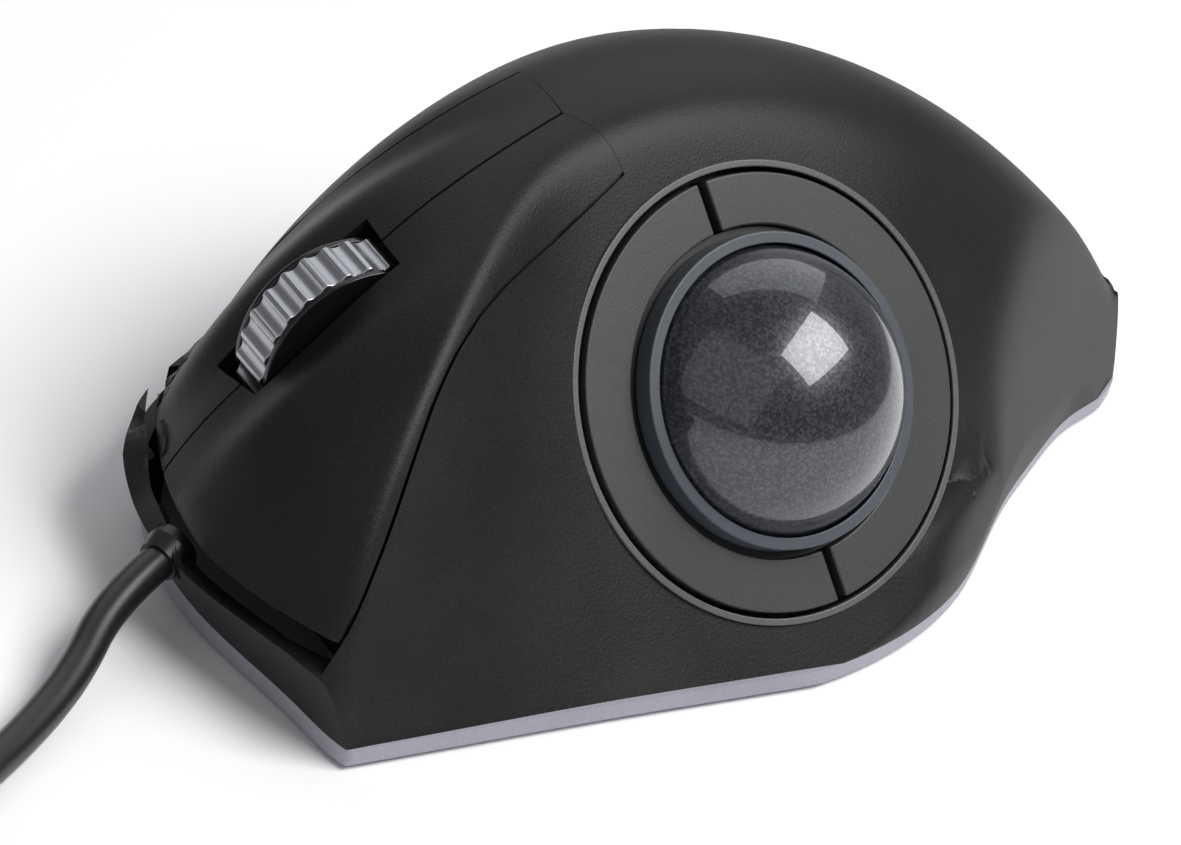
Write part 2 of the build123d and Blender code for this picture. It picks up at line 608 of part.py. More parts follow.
pieces["cable_lead"] = cable(CABLE_ROUTE, "lead")
lead_end = Vector(*CABLE_ROUTE[-1])
lead_way = (lead_end - Vector(*CABLE_ROUTE[-2])).normalized()
lead_right = Vector(lead_way.Y, -lead_way.X, 0)
coil_x, coil_y, coil_z = lead_end + lead_way * COIL_LEAD + lead_right * COIL_RADIUS
leave = math.radians(COIL_LEAVE_ANGLE)
leave_point = Vector(coil_x + COIL_RADIUS * math.cos(leave), coil_y + COIL_RADIUS * math.sin(leave), coil_z)
leave_way = Vector(math.sin(leave), -math.cos(leave), 0)
coil = Pos(coil_x, coil_y, 0) * tube(COIL_RADIUS + COIL_BAND, COIL_RADIUS - COIL_BAND, 0, COIL_HEIGHT)
coil = coil + Plane(origin=lead_end, z_dir=lead_way) * rod(CABLE_RADIUS, 0, COIL_LEAD)
coil = coil + Plane(origin=leave_point, z_dir=leave_way) * rod(CABLE_RADIUS, 0, COIL_LEAD)
pieces["cable_coil"] = coil
print("coil centre", coil_x, coil_y)

tail_start = leave_point + leave_way * COIL_LEAD
rise = Vector(0, 0, PLUG_HEIGHT - coil_z)
tail_points = [tail_start, tail_start + leave_way * TAIL_STEP,
               tail_start + leave_way * 2 * TAIL_STEP + rise, tail_start + leave_way * 3 * TAIL_STEP + rise]
TAIL_ROUTE = [tuple(point) for point in tail_points]
pieces["cable_tail"] = cable(TAIL_ROUTE, "tail")
print("tail", TAIL_ROUTE)

TIE_ANGLE = math.radians(95.0)
tie_at = Plane(origin=(coil_x + COIL_RADIUS * math.cos(TIE_ANGLE), coil_y + COIL_RADIUS * math.sin(TIE_ANGLE), 0),
               x_dir=(math.cos(TIE_ANGLE), math.sin(TIE_ANGLE), 0), z_dir=(0, 0, 1))
tie = Pos(0, 0, (COIL_HEIGHT + 1.0) / 2) * Box(2 * COIL_BAND + 2.4, 5, COIL_HEIGHT + 1.0)
tie = tie - Pos(0, 0, COIL_HEIGHT / 2 - 1) * Box(2 * COIL_BAND + 0.6, 6, COIL_HEIGHT + 2.2)
pieces["coil_tie"] = tie_at * tie

PLUG_BODY = (15.0, 7.6, 22.0)
PLUG_SHELL = (11.9, 4.5, 12.0)
SHELL_SHEET = 0.35
plug_plane = Plane(origin=TAIL_ROUTE[-1], x_dir=(leave_way.Y, -leave_way.X, 0), z_dir=leave_way)
overmould = Pos(0, 0, PLUG_BODY[2] / 2) * Box(*PLUG_BODY)
overmould = fillet(overmould.edges().filter_by(Axis.Z), 2.2)
pieces["plug_body"] = plug_plane * overmould
sleeve = Box(*PLUG_SHELL) - Box(PLUG_SHELL[0] - 2 * SHELL_SHEET, PLUG_SHELL[1] - 2 * SHELL_SHEET, 40)
pieces["plug_shell"] = plug_plane * (Pos(0, 0, PLUG_BODY[2] + PLUG_SHELL[2] / 2) * sleeve)
tongue = Pos(0, -0.9, PLUG_BODY[2] + 5.5) * Box(PLUG_SHELL[0] - 2 * SHELL_SHEET - 0.1, 1.8, 11.0)
pieces["plug_tongue"] = plug_plane * tongue

# ---------------------------------------------------------------- move to the final frame and write
cord_names = ["cable_lead", "cable_coil", "cable_tail", "coil_tie", "plug_body", "plug_shell",
              "plug_tongue"]
boxes = [piece.bounding_box() for name, piece in pieces.items() if name not in cord_names]
middle_x = (min(box.min.X for box in boxes) + max(box.max.X for box in boxes)) / 2
middle_y = (min(box.min.Y for box in boxes) + max(box.max.Y for box in boxes)) / 2
FRAME_SHIFT = Vector(-middle_x, -middle_y, 0)
print("frame shift", FRAME_SHIFT)

os.makedirs("parts", exist_ok=True)
for name, piece in pieces.items():
    solids = piece.solids()
    if len(solids) != 1:
        print("more than one solid in", name, [round(solid.volume, 3) for solid in solids])
    export_step(Pos(*FRAME_SHIFT) * piece, f"parts/{name}.step")
print(len(pieces), "pieces written")
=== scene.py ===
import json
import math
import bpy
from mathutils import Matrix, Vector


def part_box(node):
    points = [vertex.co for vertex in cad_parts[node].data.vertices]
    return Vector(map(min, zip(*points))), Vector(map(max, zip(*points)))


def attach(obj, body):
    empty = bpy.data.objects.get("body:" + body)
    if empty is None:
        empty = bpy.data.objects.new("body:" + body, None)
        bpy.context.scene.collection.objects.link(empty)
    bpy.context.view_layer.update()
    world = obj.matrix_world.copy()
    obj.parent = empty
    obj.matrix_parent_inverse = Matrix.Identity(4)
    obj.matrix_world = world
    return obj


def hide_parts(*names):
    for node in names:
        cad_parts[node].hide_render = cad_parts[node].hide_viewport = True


bl_info = {
    "name": "Thumb Ball Mouse",
    "version": (1, 0, 0),
    "blender": (4, 5, 0),
    "location": "3D View > Sidebar > Thumb Ball Mouse",
    "description": "Finishes and studio for a wired mouse with a thumb ball",
    "category": "Object",
}

import bmesh
import bpy
from bpy.props import FloatProperty, FloatVectorProperty, IntProperty, PointerProperty
from mathutils import Matrix, Vector

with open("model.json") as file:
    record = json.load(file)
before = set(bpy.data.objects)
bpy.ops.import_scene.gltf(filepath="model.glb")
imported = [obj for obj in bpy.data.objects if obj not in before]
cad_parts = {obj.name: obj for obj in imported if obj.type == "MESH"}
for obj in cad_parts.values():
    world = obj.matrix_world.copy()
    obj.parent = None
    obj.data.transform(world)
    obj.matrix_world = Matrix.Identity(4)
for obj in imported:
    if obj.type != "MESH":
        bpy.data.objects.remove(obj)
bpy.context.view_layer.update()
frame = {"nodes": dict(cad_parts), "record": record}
MM = 0.001

# Axes of the thumb ring: its middle lies on the slanted left flank, its axis points out of it.
RING_TILT = math.radians(37.8)
BALL_LOW, BALL_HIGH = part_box("ball")
BALL_CENTRE = (BALL_LOW + BALL_HIGH) / 2
BALL_RADIUS = (BALL_HIGH.z - BALL_LOW.z) / 2


def linear(code, alpha=1.0):
    """An sRGB hex colour as linear red, green, blue and alpha."""
    out = []
    for start in (0, 2, 4):
        c = int(code[start:start + 2], 16) / 255
        out.append(c / 12.92 if c <= 0.04045 else ((c + 0.055) / 1.055) ** 2.4)
    return (*out, alpha)


def add_node(tree, kind, settings=None, inputs=None, links=None):
    """One node in a material, with its settings, its socket values and what feeds it."""
    made = tree.nodes.new(kind)
    for name, value in (settings or {}).items():
        setattr(made, name, value)
    for name, value in (inputs or {}).items():
        made.inputs[name].default_value = value
    for name, source in (links or {}).items():
        tree.links.new(source, made.inputs[name])
    return made


def new_material(name, shader_inputs):
    """A material with one Principled shader; returns the material, its tree and the shader."""
    material = bpy.data.materials.new(name)
    material.use_nodes = True
    tree = material.node_tree
    tree.nodes.clear()
    shader = add_node(tree, "ShaderNodeBsdfPrincipled", inputs=shader_inputs)
    add_node(tree, "ShaderNodeOutputMaterial", links={"Surface": shader.outputs["BSDF"]})
    return material, tree, shader


def per_metre(size_mm):
    """Texture scale that gives features of this size in millimetres."""
    return 1000.0 / size_mm


def moulded_plastic(name, dark, light, roughness, grain_mm, grain_depth_mm, **shader_inputs):
    """Injection moulded plastic: a spark-eroded grain, a faint cloudy tone and slightly uneven sheen."""
    material, tree, shader = new_material(name, {"Roughness": roughness, "IOR": 1.5, **shader_inputs})
    place = add_node(tree, "ShaderNodeTexCoord")
    cloud = add_node(tree, "ShaderNodeTexNoise", inputs={"Scale": per_metre(14.0), "Detail": 3.0},
                     links={"Vector": place.outputs["Object"]})
    grain = add_node(tree, "ShaderNodeTexNoise",
                     inputs={"Scale": per_metre(grain_mm), "Detail": 2.0, "Roughness": 0.6},
                     links={"Vector": place.outputs["Object"]})
    blend = add_node(tree, "ShaderNodeMath", {"operation": "MULTIPLY_ADD"}, {1: 0.35, 2: 0.0},
                     {0: cloud.outputs["Fac"]})
    both = add_node(tree, "ShaderNodeMath", {"operation": "MULTIPLY_ADD"}, {1: 0.65},
                    {0: grain.outputs["Fac"], 2: blend.outputs["Value"]})
    tone = add_node(tree, "ShaderNodeValToRGB", links={"Fac": both.outputs["Value"]})
    tone.color_ramp.elements[0].position = 0.30
    tone.color_ramp.elements[0].color = linear(dark)
    tone.color_ramp.elements[1].position = 0.72
    tone.color_ramp.elements[1].color = linear(light)
    tree.links.new(tone.outputs["Color"], shader.inputs["Base Color"])
    sheen = add_node(tree, "ShaderNodeMapRange",
                     inputs={"To Min": roughness - 0.05, "To Max": roughness + 0.05},
                     links={"Value": cloud.outputs["Fac"]})
    tree.links.new(sheen.outputs["Result"], shader.inputs["Roughness"])
    relief = add_node(tree, "ShaderNodeBump", inputs={"Strength": 1.0, "Distance": grain_depth_mm * MM},
                      links={"Height": grain.outputs["Fac"]})
    tree.links.new(relief.outputs["Normal"], shader.inputs["Normal"])
    return material


def turned_metal(name, colour, roughness, streak_mm):
    """Bare or plated metal: fine lines left by turning or drawing, uneven in gloss."""
    material, tree, shader = new_material(name, {"Metallic": 1.0, "Base Color": linear(colour),
                                                 "Roughness": roughness})
    place = add_node(tree, "ShaderNodeTexCoord")
    stretch = add_node(tree, "ShaderNodeMapping", inputs={"Scale": (1.0, 0.12, 0.12)},
                       links={"Vector": place.outputs["Object"]})
    lines = add_node(tree, "ShaderNodeTexNoise", inputs={"Scale": per_metre(streak_mm), "Detail": 2.0},
                     links={"Vector": stretch.outputs["Vector"]})
    gloss = add_node(tree, "ShaderNodeMapRange",
                     inputs={"To Min": roughness - 0.08, "To Max": roughness + 0.08},
                     links={"Value": lines.outputs["Fac"]})
    tree.links.new(gloss.outputs["Result"], shader.inputs["Roughness"])
    relief = add_node(tree, "ShaderNodeBump", inputs={"Strength": 0.6, "Distance": 0.01 * MM},
                      links={"Height": lines.outputs["Fac"]})
    tree.links.new(relief.outputs["Normal"], shader.inputs["Normal"])
    return material


def flaked_resin(name, base, flake, flake_mm):
    """Polished phenolic ball: dark resin with metal flakes under a clear glossy surface."""
    material, tree, shader = new_material(name, {"Metallic": 0.55, "Roughness": 0.30, "IOR": 1.55,
                                                 "Coat Weight": 1.0, "Coat Roughness": 0.02})
    place = add_node(tree, "ShaderNodeTexCoord")
    cells = add_node(tree, "ShaderNodeTexVoronoi", {"feature": "F1"}, {"Scale": per_metre(flake_mm)},
                     {"Vector": place.outputs["Object"]})
    split = add_node(tree, "ShaderNodeSeparateColor", links={"Color": cells.outputs["Color"]})
    bright = add_node(tree, "ShaderNodeValToRGB", links={"Fac": split.outputs["Red"]})
    bright.color_ramp.elements[0].position = 0.25
    bright.color_ramp.elements[0].color = linear(base)
    bright.color_ramp.elements[1].position = 0.98
    bright.color_ramp.elements[1].color = linear(flake)
    tree.links.new(bright.outputs["Color"], shader.inputs["Base Color"])
    relief = add_node(tree, "ShaderNodeBump", inputs={"Strength": 0.35, "Distance": 0.006 * MM},
                      links={"Height": split.outputs["Green"]})
    tree.links.new(relief.outputs["Normal"], shader.inputs["Normal"])
    return material


def shown_colour(group, name):
    """A colour that the user set, with alpha."""
    return (*getattr(group, name), 1.0)


# ---------------------------------------------------------------- what a user would change
class MouseShellLook(bpy.types.PropertyGroup):
    grain: FloatProperty(name="Grain", description="Size of the moulded grain, in millimetres",
                         default=0.32, min=0.05, max=2.0)
    grain_depth: FloatProperty(name="Grain depth", description="Depth of the moulded grain, in millimetres",
                               default=0.045, min=0.0, max=0.3)
    roughness: FloatProperty(name="Roughness", description="How matt the black shell is", default=0.46,
                             min=0.05, max=1.0, subtype="FACTOR")


class MouseBallLook(bpy.types.PropertyGroup):
    flake: FloatProperty(name="Flake", description="Size of the metal flakes, in millimetres", default=0.28,
                         min=0.05, max=2.0)


class MouseCordSizes(bpy.types.PropertyGroup):
    diameter: FloatProperty(name="Diameter", description="Outside diameter of the cable", default=4.0 * MM,
                            min=0.001, max=0.01, subtype="DISTANCE", unit="LENGTH")
    inner_turn: FloatProperty(name="Inner turns", description="Radius of the inner turns of the coil",
                              default=20.0 * MM, min=0.01, max=0.05, subtype="DISTANCE", unit="LENGTH")
    outer_turn: FloatProperty(name="Outer turns", description="Radius of the outer turns of the coil",
                              default=24.0 * MM, min=0.01, max=0.05, subtype="DISTANCE", unit="LENGTH")
    points_per_turn: IntProperty(name="Points per turn", description="Control points in each turn",
                                 default=16, min=12, max=48)


class MouseStudioLook(bpy.types.PropertyGroup):
    floor: FloatVectorProperty(name="Floor", description="Colour of the floor", subtype="COLOR", size=3,
                               default=linear("f4f4f6")[:3], min=0.0, max=1.0)
    key_power: FloatProperty(name="Key light", description="Power of the large light above, in watts",
                             default=10.0, min=0.0, max=500.0)
    fill_power: FloatProperty(name="Fill light", description="Power of the light in front, in watts",
                              default=1.6, min=0.0, max=500.0)
    surround: FloatProperty(name="Surround", description="Strength of the even light all round", default=0.20,
                            min=0.0, max=10.0)


# ---------------------------------------------------------------- finishes
def make_finishes():
    """Every finish by name."""
    shell = bpy.context.scene.mouse_shell_look
    ball = bpy.context.scene.mouse_ball_look
    made = {}
    # ABS, spark-eroded mould: soft broad highlights, a fine even grain, almost black
    made["moulded_abs_black"] = moulded_plastic("moulded_abs_black", "0c0b0b", "211f1e", shell.roughness,
                                                shell.grain, shell.grain_depth,
                                                **{"Specular IOR Level": 0.27})
    # ABS, finer mould texture: the half-ring buttons look a little greyer than the shell
    made["moulded_abs_charcoal"] = moulded_plastic("moulded_abs_charcoal", "262827", "383a39", 0.42,
                                                   0.24, 0.012)
    # polished ABS edge: the thin lip around the buttons catches the light
    made["satin_abs_lip"] = moulded_plastic("satin_abs_lip", "4b4c4e", "5c5d60", 0.30, 0.3, 0.004)
    # bluish grey ABS ring that holds the ball in
    made["moulded_abs_slate"] = moulded_plastic("moulded_abs_slate", "3b4046", "4b5159", 0.36, 0.25, 0.008)
    # pale ABS base, smooth moulded, seen as the thin trim line
    made["moulded_abs_pale"] = moulded_plastic("moulded_abs_pale", "8e8e99", "a0a0ab", 0.42, 0.3, 0.008)
    # black ABS inside the openings, not textured
    made["moulded_abs_inner"] = moulded_plastic("moulded_abs_inner", "0c0c0c", "141414", 0.55, 0.5, 0.01)
    # glossy black ABS of the wheel's sides
    made["gloss_abs_black"] = moulded_plastic("gloss_abs_black", "0d0d0e", "141416", 0.22, 0.5, 0.002)
    # phenolic ball with flakes under a polish
    made["flaked_phenolic"] = flaked_resin("flaked_phenolic", "2b2c31", "4c4e55", ball.flake)
    # vacuum metallised wheel band, satin
    made["satin_metallised"] = turned_metal("satin_metallised", "b4b5b9", 0.36, 0.4)
    # zinc plated steel screws and pins
    made["zinc_plated_steel"] = turned_metal("zinc_plated_steel", "a8a9a6", 0.35, 0.2)
    # nickel plated plug shell, rolled sheet
    made["nickel_plated_steel"] = turned_metal("nickel_plated_steel", "b9b6ae", 0.24, 0.25)
    # polished bearing steel
    made["bearing_steel"] = turned_metal("bearing_steel", "cfcfd0", 0.16, 0.5)
    # slick feet: dark filled fluoroplastic, waxy
    made["slick_ptfe"] = moulded_plastic("slick_ptfe", "2b2b2c", "343436", 0.5, 0.6, 0.01)
    # circuit board: black solder mask over glass weave
    made["solder_mask_black"] = moulded_plastic("solder_mask_black", "101412", "161c19", 0.35, 0.7, 0.01)
    made["moulded_epoxy_black"] = moulded_plastic("moulded_epoxy_black", "181818", "222222", 0.6, 0.2, 0.01)
    made["moulded_nylon_cream"] = moulded_plastic("moulded_nylon_cream", "cfc7a8", "ddd6bb", 0.45, 0.5, 0.006)
    made["moulded_acetal_white"] = moulded_plastic("moulded_acetal_white", "d9d9d6", "e6e6e3", 0.4, 0.5, 0.004)
    # soft PVC jacket and overmould: satin black, very slightly orange-peeled
    made["pvc_black"] = moulded_plastic("pvc_black", "151516", "1d1d1f", 0.36, 1.2, 0.012)
    # clear acrylic sensor lens
    lens, tree, shader = new_material("clear_acrylic", {"Roughness": 0.05, "IOR": 1.49,
                                                        "Transmission Weight": 0.9,
                                                        "Base Color": linear("f2f5f6")})
    made["clear_acrylic"] = lens
    return made


FINISH_OF_SLOT = {
    "shell_black": "moulded_abs_black", "trim_grey": "moulded_abs_pale", "housing_black": "moulded_abs_inner",
    "bezel_grey": "satin_abs_lip", "retainer_grey": "moulded_abs_slate", "thumb_key_grey": "moulded_abs_charcoal",
    "ball_gunmetal": "flaked_phenolic", "wheel_silver": "satin_metallised", "wheel_black": "gloss_abs_black",
    "pin_steel": "zinc_plated_steel", "carrier_black": "moulded_abs_inner", "encoder_green": "solder_mask_black",
    "board_green": "solder_mask_black", "chip_black": "moulded_epoxy_black", "lens_clear": "clear_acrylic",
    "connector_cream": "moulded_nylon_cream", "switch_black": "moulded_epoxy_black",
    "plunger_white": "moulded_acetal_white", "screw_steel": "zinc_plated_steel", "foot_slick": "slick_ptfe",
    "bearing_steel": "bearing_steel", "cable_black": "pvc_black", "tie_black": "pvc_black",
    "plug_black": "pvc_black", "plug_steel": "nickel_plated_steel", "tongue_white": "moulded_acetal_white",
}
SLOT_OF_NODE = {row["node"]: row["material_slot"] for row in frame["record"]["subparts"]}
BODY_OF_NODE = {node: body for body, members in frame["record"]["behaviour"]["bodies"].items()
                for node in members}


def link_piece(name, mesh, finish, body, replaced=()):
    """A new piece at the origin that rides on a body and stands for CAD nodes."""
    piece = bpy.data.objects.new(name, mesh)
    bpy.context.scene.collection.objects.link(piece)
    mesh.materials.clear()
    mesh.materials.append(bpy.data.materials[finish])
    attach(piece, body)
    if replaced:
        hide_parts(*replaced)
    return piece


def smooth_copy(node, sharp_degrees=35.0, name=None):
    """A merged copy of a CAD node, smooth except at its real edges, that stands for it."""
    mesh = frame["nodes"][node].data.copy()
    mesh.name = name or node + "_skin"
    work = bmesh.new()
    work.from_mesh(mesh)
    bmesh.ops.remove_doubles(work, verts=work.verts, dist=0.002 * MM)
    bmesh.ops.dissolve_degenerate(work, dist=0.001 * MM, edges=work.edges)
    bmesh.ops.recalc_face_normals(work, faces=work.faces)
    limit = math.radians(sharp_degrees)
    for face in work.faces:
        face.smooth = True
    for edge in work.edges:
        edge.smooth = len(edge.link_faces) == 2 and edge.calc_face_angle(0.0) < limit
    work.to_mesh(mesh)
    work.free()
    for layer in ("sharp_face", "custom_normal"):
        attribute = mesh.attributes.get(layer)
        if attribute:
            mesh.attributes.remove(attribute)
    slot = SLOT_OF_NODE[node]
    return link_piece(name or node + "_skin", mesh, FINISH_OF_SLOT[slot], BODY_OF_NODE[node], (node,))


# ---------------------------------------------------------------- form of the shell, in millimetres
# The formulas use a frame whose origin is on the table below the front-left corner of the base.
FORM_SHIFT = Vector((40.2222, -63.3313, 0.0))
CROWN_HEIGHT = 53.0
CROWN_Y = -60.0
NOSE_X = 24.0
FLANK_X, FLANK_HEIGHT = 22.3, 27.0
FLANK_RISE = 1 / math.tan(RING_TILT)
SKIRT_LOW = 2.6  # lower edge of the shell, on the base
STEEPEST = 0.3  # the form is followed only where it isn't steeper than this


def lesser(a, b, blend):
    """Smaller of two heights, with the corner between them rounded."""
    h = max(blend - abs(a - b), 0) / blend
    return min(a, b) - h ** 3 * blend / 6


def greater(a, b, blend):
    """Larger of two heights, with the corner between them rounded."""
    return -lesser(-a, -b, blend)


def ramp(t, blend):
    """t where it is positive and nothing where it is negative, with a smooth change."""
    return (t + math.hypot(t, blend)) / 2


def crown_form(x, y):
    """Domed top."""
    forward = ramp(y - CROWN_Y, 8) / abs(CROWN_Y)
    ridge = 50 - 6 * forward
    half = 37.0 if x > ridge else 30 + 70 * forward
    along = ramp(y - CROWN_Y, 3) / (70.2 - 0.0102 * (x - NOSE_X) ** 2)
    t = 1 - ((x - ridge) / half) ** 2 - along ** 2
    return CROWN_HEIGHT * math.sqrt(ramp(t, 0.05)) - 0.0071 * ramp(CROWN_Y - y, 3) ** 2


def nose_edge(x):
    """Front lip of the nose, seen from above."""
    return 10.0 - 0.0095 * (x - 33) ** 2


def nose_form(x, y):
    """Shelf in front of the finger keys, rolling over at its lip."""
    return 13.0 - 0.21 * ramp(y - nose_edge(x) + 4.5, 1.0) ** 2


def flank_form(x, y):
    """Slanted thumb side, flat around the ring and steeper towards both ends."""
    steeper = FLANK_RISE + 0.68 * (ramp(y + 40, 4) / 28) ** 2
    thumb = steeper * (x - (FLANK_X - FLANK_HEIGHT / FLANK_RISE))
    rear = FLANK_HEIGHT + FLANK_RISE * (x - FLANK_X) + 0.5 * (y + 80)
    corner = 2 + 3 * (0.79 * (x - 12) + 0.61 * (y + 89))
    return lesser(lesser(thumb, rear, 6), corner, 8)


def hollow_form(x, y):
    """Hollow around the wheel and finger groove of the right key."""
    hollow = 4.0 * math.exp(-((x - 40) / 8) ** 4 - ((y + 4) / 10) ** 2)
    groove_x = 55 + 0.12 * (y + 20)
    return hollow + 1.6 * math.exp(-((x - groove_x) / 4.5) ** 2 - ((y + 18) / 20) ** 4)


def skin_form(x, y):
    """Height of the outer surface of the shell."""
    top = greater(crown_form(x, y) - hollow_form(x, y), nose_form(x, y), 2)
    return lesser(top, flank_form(x, y), 5)


def skin_gap(point):
    """Distance of a point from the outer surface, in millimetres, and the way out of the surface there."""
    x, y, z = point / MM + FORM_SHIFT
    step = 0.1
    slope_x = (skin_form(x + step, y) - skin_form(x - step, y)) / (2 * step)
    slope_y = (skin_form(x, y + step) - skin_form(x, y - step)) / (2 * step)
    way = Vector((-slope_x, -slope_y, 1.0))
    size = way.length
    return (z - skin_form(x, y)) / size, way / size


def true_skin(piece, reach=0.4):
    """Bring the outer surface of a shell piece onto its form and shade it with the form's own normals."""
    mesh = piece.data
    found = {vertex.index: skin_gap(vertex.co) for vertex in mesh.vertices}
    outer, inner = set(), set()
    for face in mesh.polygons:
        facing = [face.normal.dot(found[index][1]) for index in face.vertices]
        if min(facing) > 0.35:
            outer.update(face.vertices)
        elif max(facing) < -0.35:
            inner.update(face.vertices)
    ways = {}
    for index in outer - inner:
        vertex = mesh.vertices[index]
        x, y, z = vertex.co / MM + FORM_SHIFT
        if abs(found[index][0]) < reach and found[index][1].z > STEEPEST and y < nose_edge(x) - 3.5:
            vertex.co.z = max(skin_form(x, y), SKIRT_LOW) * MM
            ways[index] = skin_gap(vertex.co)[1]
    mesh.update()
    normals = [Vector(corner.vector) for corner in mesh.corner_normals]
    for face in mesh.polygons:
        for corner in face.loop_indices:
            way = ways.get(mesh.loops[corner].vertex_index)
            if way is not None and face.normal.dot(way) > 0.6:
                normals[corner] = way
    mesh.normals_split_custom_set(normals)


def follow_skirt(piece, stand=1.7):
    """Draw the base's edge in below the shell, so that only a thin trim line stands proud of it."""
    for vertex in piece.data.vertices:
        for _ in range(4):
            x, y, z = vertex.co / MM + FORM_SHIFT
            height = skin_form(x, y)
            if height >= stand:
                break
            slope_x = (skin_form(x + 0.1, y) - skin_form(x - 0.1, y)) / 0.2
            slope_y = (skin_form(x, y + 0.1) - skin_form(x, y - 0.1)) / 0.2
            lift = (stand - height) / max(slope_x ** 2 + slope_y ** 2, 0.2)
            vertex.co += Vector((slope_x, slope_y, 0.0)) * lift * MM
    piece.data.update()


class OBJECT_OT_mouse_finishes(bpy.types.Operator):
    """Give every CAD node the finish of its slot"""
    bl_idname = "object.mouse_finishes"
    bl_label = "Finishes"

    def execute(self, context):
        finishes = make_finishes()
        for name, piece in frame["nodes"].items():
            piece.data.materials.clear()
            piece.data.materials.append(finishes[FINISH_OF_SLOT[SLOT_OF_NODE[name]]])
        return {"FINISHED"}


class OBJECT_OT_mouse_shell(bpy.types.Operator):
    """Smooth skins of the top shell and the finger keys"""
    bl_idname = "object.mouse_shell"
    bl_label = "Shell and finger keys"

    def execute(self, context):
        for node in ("top_shell", "left_key", "right_key"):
            true_skin(smooth_copy(node))
        follow_skirt(smooth_copy("base_plate"))
        return {"FINISHED"}


class OBJECT_OT_mouse_ball(bpy.types.Operator):
    """Round polished thumb ball"""
    bl_idname = "object.mouse_ball"
    bl_label = "Thumb ball"

    def execute(self, context):
        work = bmesh.new()
        bmesh.ops.create_icosphere(work, subdivisions=6, radius=BALL_RADIUS,
                                   matrix=Matrix.Translation(BALL_CENTRE))
        for face in work.faces:
            face.smooth = True
        mesh = bpy.data.meshes.new("thumb_ball")
        work.to_mesh(mesh)
        work.free()
        link_piece("thumb_ball", mesh, "flaked_phenolic", "ball", ("ball",))
        return {"FINISHED"}


def edged_copy(node, edge_mm, sharp_degrees=40.0):
    """A copy of a CAD node whose flat faces are whole again and whose edges are rounded over."""
    piece = smooth_copy(node, sharp_degrees)
    work = bmesh.new()
    work.from_mesh(piece.data)
    bmesh.ops.dissolve_limit(work, angle_limit=math.radians(0.6), verts=work.verts, edges=work.edges)
    work.to_mesh(piece.data)
    work.free()
    rounding = piece.modifiers.new("edge_rounding", "BEVEL")
    rounding.width = edge_mm * MM
    rounding.segments = 2
    rounding.limit_method = "ANGLE"
    rounding.angle_limit = math.radians(sharp_degrees)
    rounding.use_clamp_overlap = True
    rounding.harden_normals = True
    return piece


class OBJECT_OT_mouse_thumb_ring(bpy.types.Operator):
    """Half-ring buttons, the ring that holds the ball and the thin lip, with rounded edges"""
    bl_idname = "object.mouse_thumb_ring"
    bl_label = "Thumb ring"

    def execute(self, context):
        for node, edge_mm in (("thumb_button_front", 0.28), ("thumb_button_rear", 0.28),
                              ("retaining_ring", 0.22), ("bezel", 0.16)):
            edged_copy(node, edge_mm)
        return {"FINISHED"}


class OBJECT_OT_mouse_wheel(bpy.types.Operator):
    """Scroll wheel with softened flutes and sides"""
    bl_idname = "object.mouse_wheel"
    bl_label = "Scroll wheel"

    def execute(self, context):
        edged_copy("wheel_band", 0.18, 25.0)
        edged_copy("wheel_hub", 0.22)
        return {"FINISHED"}


class OBJECT_OT_mouse_plug(bpy.types.Operator):
    """Moulded plug body and its folded metal shell, with rounded edges"""
    bl_idname = "object.mouse_plug"
    bl_label = "Plug"

    def execute(self, context):
        edged_copy("plug_body", 0.6)
        edged_copy("plug_shell", 0.1)
        return {"FINISHED"}


# ---------------------------------------------------------------- cable
LEAD_ROUTE = (  # cable from its exit to where it meets the coil, in millimetres
    (-10.222, 72.731, 8.6), (-13.622, 79.831, 6.6), (-20.622, 86.531, 3.6), (-27.622, 95.731, 2.1),
    (-35.722, 107.831, 2.0), (-40.722, 116.831, 2.0))
COIL_CENTRE = (-31.204, 144.999)
COIL_ENTRY_DEGREES = 209.05
COIL_LEAVE_DEGREES = 45.0
TAIL_ROUTE = (  # cable from the coil to its plug, in millimetres
    (-1.506, 146.413, 2.0), (4.151, 140.756, 2.0), (9.808, 135.099, 4.0), (15.465, 129.442, 4.0))


def coil_points(sizes):
    """Turns of the coil in millimetres: the inner turns climb, the outer turns come down again."""
    inner, outer = sizes.inner_turn / MM, sizes.outer_turn / MM
    pitch = sizes.diameter / MM
    floor = pitch / 2
    step = 360.0 / sizes.points_per_turn
    points = []
    turned = 0.0
    leave_turn = (COIL_ENTRY_DEGREES - COIL_LEAVE_DEGREES) % 360.0
    total = 360.0 * 8 + leave_turn
    while turned <= total:
        around = turned / 360.0
        if around < 0.25:
            radius = 22.0 + (inner - 22.0) * around / 0.25
            height = floor
        elif around < 4.25:
            radius = inner
            height = floor + pitch * (around - 0.25)
        elif around < 5.25:
            radius = inner + (outer - inner) * (around - 4.25)
            height = floor + pitch * 4
        else:
            radius = outer
            height = floor + pitch * 4 - pitch * (around - 5.25)
        angle = math.radians(COIL_ENTRY_DEGREES - turned)
        points.append((COIL_CENTRE[0] + radius * math.cos(angle), COIL_CENTRE[1] + radius * math.sin(angle),
                       height))
        turned += step
    return points


